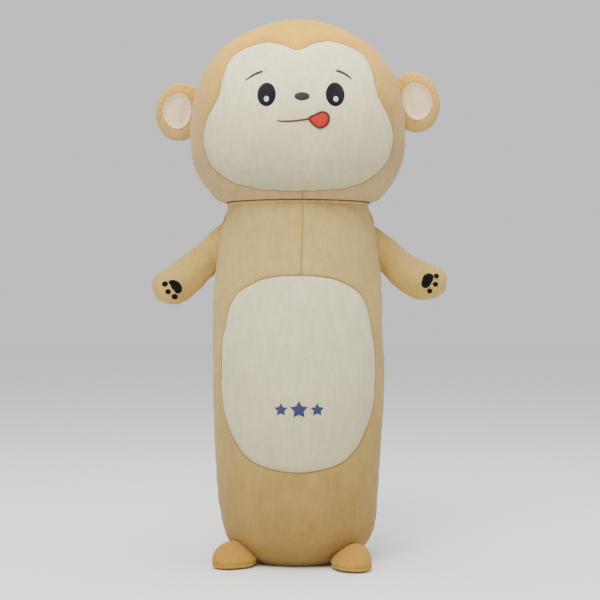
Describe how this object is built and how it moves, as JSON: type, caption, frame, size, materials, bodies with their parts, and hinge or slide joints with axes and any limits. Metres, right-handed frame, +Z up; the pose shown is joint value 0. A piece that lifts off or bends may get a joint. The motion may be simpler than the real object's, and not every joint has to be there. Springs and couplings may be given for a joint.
{
  "type": "stuffed monkey",
  "caption": "Long stuffed plush monkey with a round head on a tube-shaped body, short floppy arms, small feet and round ears, and embroidered face, paws and belly motif.",
  "frame": {"origin": "middle of the flat base panel, on the floor the toy stands on", "axes": "+Z up along the body, face towards -Y, +X to the right of someone facing the toy"},
  "size_m": [0.4412, 0.3238, 0.8],
  "materials": {
    "tan_plush": "short pile",
    "cream_plush": "short pile",
    "fibre_fill": "loose polyester fibre",
    "hem_cloth": "woven backing",
    "tan_thread": "satin stitch",
    "black_thread": "satin stitch",
    "white_thread": "satin stitch",
    "grey_thread": "satin stitch",
    "brown_thread": "satin stitch",
    "red_thread": "satin stitch",
    "navy_thread": "satin stitch"
  },
  "bodies": {
    "torso": {"body_front": "tan_plush", "belly_patch": "cream_plush", "body_back_left": "tan_plush", "body_back_right": "tan_plush", "base_panel": "tan_plush", "body_fill": "fibre_fill", "belly_badge": "navy_thread", "closing_stitches": "tan_thread"},
    "neck_lower": {"neck_fill": "fibre_fill"},
    "neck_upper": {"neck_hem": "hem_cloth", "neck_stitches": "tan_thread"},
    "head": {"face_patch": "cream_plush", "head_front": "tan_plush", "head_back_left": "tan_plush", "head_back_right": "tan_plush", "head_fill": "fibre_fill", "eye_left": "black_thread", "eye_right": "black_thread", "eye_glint_left": "white_thread", "eye_glint_right": "white_thread", "brow_left": "brown_thread", "brow_right": "brown_thread", "nose": "grey_thread", "mouth_line": "brown_thread", "tongue": "red_thread", "tongue_outline": "brown_thread"},
    "ear_left": {"ear_front_left": "tan_plush", "ear_inner_left": "cream_plush", "ear_back_left": "tan_plush", "ear_fill_left": "fibre_fill"},
    "shoulder_left": {"shoulder_fill_left": "fibre_fill"},
    "arm_left": {"arm_front_left": "tan_plush", "arm_back_left": "tan_plush", "arm_fill_left": "fibre_fill", "paw_pad_left": "black_thread", "paw_toes_left": "black_thread"},
    "foot_left": {"foot_upper_left": "tan_plush", "foot_sole_left": "tan_plush", "foot_fill_left": "fibre_fill"},
    "ear_right": {"ear_front_right": "tan_plush", "ear_inner_right": "cream_plush", "ear_back_right": "tan_plush", "ear_fill_right": "fibre_fill"},
    "shoulder_right": {"shoulder_fill_right": "fibre_fill"},
    "arm_right": {"arm_front_right": "tan_plush", "arm_back_right": "tan_plush", "arm_fill_right": "fibre_fill", "paw_pad_right": "black_thread", "paw_toes_right": "black_thread"},
    "foot_right": {"foot_upper_right": "tan_plush", "foot_sole_right": "tan_plush", "foot_fill_right": "fibre_fill"}
  },
  "joints": [
    {"name": "head_tilt", "type": "hinge", "parent": "torso", "child": "neck_lower", "pos_m": [0, 0, 0.45], "axis": [0, 1, 0], "range_deg": [-8, 8], "stiffness_Nm_per_rad": 3},
    {"name": "head_turn", "type": "hinge", "parent": "neck_lower", "child": "neck_upper", "pos_m": [0, 0, 0.45], "axis": [0, 0, 1], "range_deg": [-15, 15], "stiffness_Nm_per_rad": 3},
    {"name": "head_nod", "type": "hinge", "parent": "neck_upper", "child": "head", "pos_m": [0, 0, 0.45], "axis": [1, 0, 0], "range_deg": [-8, 12], "stiffness_Nm_per_rad": 4},
    {"name": "ear_fold_left", "type": "hinge", "parent": "head", "child": "ear_left", "pos_m": [-0.16106, 0, 0.664], "axis": [0.1358, 0, 0.9907], "range_deg": [-30, 50], "stiffness_Nm_per_rad": 0.05},
    {"name": "arm_swing_left", "type": "hinge", "parent": "torso", "child": "shoulder_left", "pos_m": [-0.1262, 0, 0.46], "axis": [0, 0, 1], "range_deg": [-40, 55], "stiffness_Nm_per_rad": 0.25},
    {"name": "arm_raise_left", "type": "hinge", "parent": "shoulder_left", "child": "arm_left", "pos_m": [-0.1262, 0, 0.46], "axis": [0, 1, 0], "range_deg": [-8, 60], "stiffness_Nm_per_rad": 0.3},
    {"name": "foot_flex_left", "type": "hinge", "parent": "torso", "child": "foot_left", "pos_m": [-0.0817, -0.06383, 0.032], "axis": [-0.6157, 0.788, 0], "range_deg": [-8, 22], "stiffness_Nm_per_rad": 0.15},
    {"name": "ear_fold_right", "type": "hinge", "parent": "head", "child": "ear_right", "pos_m": [0.15839, 0, 0.677], "axis": [0.204, 0, -0.979], "range_deg": [-30, 50], "stiffness_Nm_per_rad": 0.05},
    {"name": "arm_swing_right", "type": "hinge", "parent": "torso", "child": "shoulder_right", "pos_m": [0.1262, 0, 0.46], "axis": [0, 0, -1], "range_deg": [-40, 55], "stiffness_Nm_per_rad": 0.25},
    {"name": "arm_raise_right", "type": "hinge", "parent": "shoulder_right", "child": "arm_right", "pos_m": [0.1262, 0, 0.46], "axis": [0, -1, 0], "range_deg": [-8, 60], "stiffness_Nm_per_rad": 0.3},
    {"name": "foot_flex_right", "type": "hinge", "parent": "torso", "child": "foot_right", "pos_m": [0.07071, -0.07583, 0.032], "axis": [-0.7314, -0.682, 0], "range_deg": [-8, 22], "stiffness_Nm_per_rad": 0.15}
  ]
}
